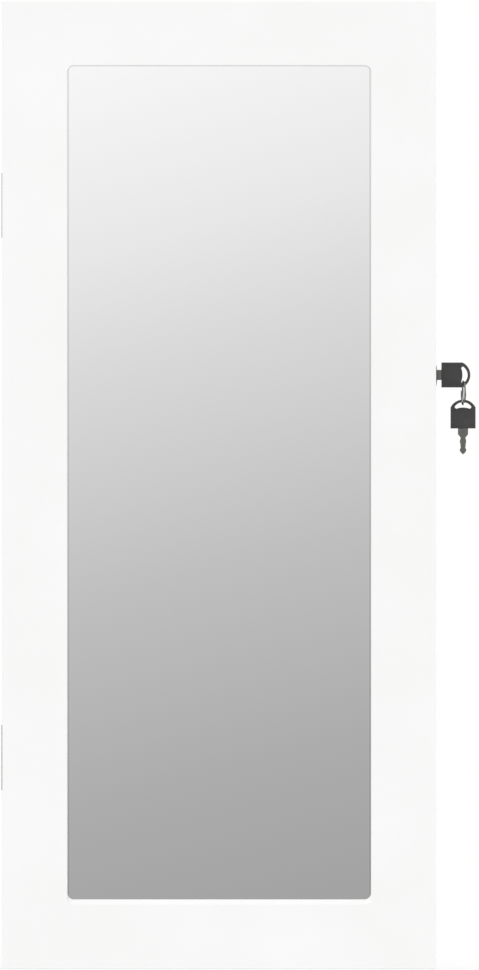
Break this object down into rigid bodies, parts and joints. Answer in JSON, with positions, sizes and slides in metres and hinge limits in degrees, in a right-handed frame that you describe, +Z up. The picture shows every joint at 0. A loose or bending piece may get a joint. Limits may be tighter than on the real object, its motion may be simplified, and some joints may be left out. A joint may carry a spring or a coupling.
{
  "type": "jewelry mirror cabinet",
  "caption": "Shallow lockable wall cabinet for jewelry: a framed mirror door on side hinges, a side cam lock with keys, and a lined inside with hooks, ring rolls, a rod and shelves.",
  "frame": {"origin": "centre of the back panel's rear face, on the wall plane", "axes": "+X to the viewer's right, +Y into the wall, +Z up; the mirror door faces -Y"},
  "size_m": [0.3298, 0.085, 0.67],
  "materials": {
    "painted_fibreboard": "fibreboard sprayed with white satin lacquer",
    "beech_dowel": "turned, unfinished",
    "flock_lining": "black flock on card",
    "ring_cushion_velvet": "black velvet over soft foam",
    "earring_foam": "closed-cell foam sheet",
    "backing_board": "hardboard",
    "silvered_glass": "float glass silvered on its back",
    "zinc_steel": "bright zinc plate",
    "nickel_hinge": "nickel plate",
    "chromed_lock": "die-cast zinc, chromed",
    "cam_steel": "stamped and zinc plated",
    "polished_rod": "polished nickel plate",
    "screw_steel": "bright zinc plate",
    "catch_plastic": "moulded, white",
    "ferrite_magnet": "ground ferrite",
    "clear_rubber": "clear soft bumper",
    "bar_plastic": "moulded, black",
    "key_plastic": "moulded grip, charcoal",
    "key_steel": "nickel-plated, tumbled"
  },
  "bodies": {
    "cabinet_body": {"back_lining": "flock_lining", "back_panel": "painted_fibreboard", "bottom_panel": "painted_fibreboard", "bracelet_rod": "polished_rod", "carcass_dowels": "beech_dowel", "catch_body": "catch_plastic", "catch_magnet": "ferrite_magnet", "catch_screws": "screw_steel", "deck_linings": "flock_lining", "guard_rails": "polished_rod", "hanger_plates": "zinc_steel", "hanger_screws": "zinc_steel", "hinge_body_screws": "nickel_hinge", "hinge_lower_body_leaf": "nickel_hinge", "hinge_pins": "nickel_hinge", "hinge_upper_body_leaf": "nickel_hinge", "hook_rail": "painted_fibreboard", "lock_body": "chromed_lock", "lock_nut": "chromed_lock", "lower_shelf": "painted_fibreboard", "necklace_hooks": "polished_rod", "ring_roll_1": "ring_cushion_velvet", "ring_roll_2": "ring_cushion_velvet", "ring_roll_3": "ring_cushion_velvet", "ring_roll_4": "ring_cushion_velvet", "ring_roll_5": "ring_cushion_velvet", "ring_tray": "flock_lining", "rod_cups": "polished_rod", "shelf_pins": "zinc_steel", "side_lining_left": "flock_lining", "side_lining_right": "flock_lining", "side_panel_left": "painted_fibreboard", "side_panel_right": "painted_fibreboard", "top_panel": "painted_fibreboard", "upper_shelf": "painted_fibreboard"},
    "mirror_door": {"door_bumpers": "clear_rubber", "door_fitting_screws": "screw_steel", "door_frame": "painted_fibreboard", "door_lining": "flock_lining", "earring_bar_1": "bar_plastic", "earring_bar_2": "bar_plastic", "earring_bar_3": "bar_plastic", "earring_bar_4": "bar_plastic", "earring_foam": "earring_foam", "hinge_door_screws": "nickel_hinge", "hinge_lower_door_leaf": "nickel_hinge", "hinge_upper_door_leaf": "nickel_hinge", "keeper_plate": "zinc_steel", "lock_strike": "zinc_steel", "mirror_backing": "backing_board", "mirror_glass": "silvered_glass"},
    "lock_cylinder": {"lock_plug": "chromed_lock", "lock_cam": "cam_steel", "cam_screw": "cam_steel"},
    "first_key": {"key_one_head": "key_plastic", "key_one_blade": "key_steel"},
    "split_ring": {"key_ring": "key_steel"},
    "spare_key": {"key_two_head": "key_plastic", "key_two_blade": "key_steel"}
  },
  "joints": [
    {"name": "door_hinge", "type": "hinge", "parent": "cabinet_body", "child": "mirror_door", "pos_m": [-0.1492, -0.0679, 0], "axis": [0, 0, -1], "range_deg": [0, 105]},
    {"name": "lock_turn", "type": "hinge", "parent": "cabinet_body", "child": "lock_cylinder", "pos_m": [0.15, -0.044, 0.0767], "axis": [1, 0, 0], "range_deg": [0, 90]},
    {"name": "key_slide", "type": "slide", "parent": "lock_cylinder", "child": "first_key", "axis": [1, 0, 0], "range_m": [0, 0.03]},
    {"name": "ring_swing", "type": "hinge", "parent": "first_key", "child": "split_ring", "pos_m": [0.16985, -0.044, 0.06945], "axis": [1, 0, 0], "range_deg": [-90, 0]},
    {"name": "spare_key_swing", "type": "hinge", "parent": "split_ring", "child": "spare_key", "pos_m": [0.16985, -0.044, 0.0586], "axis": [1, 0, 0], "range_deg": [-50, 50]}
  ],
  "couplings": [
    {"joint": "ring_swing", "follows": "lock_turn", "ratio": -1}
  ]
}
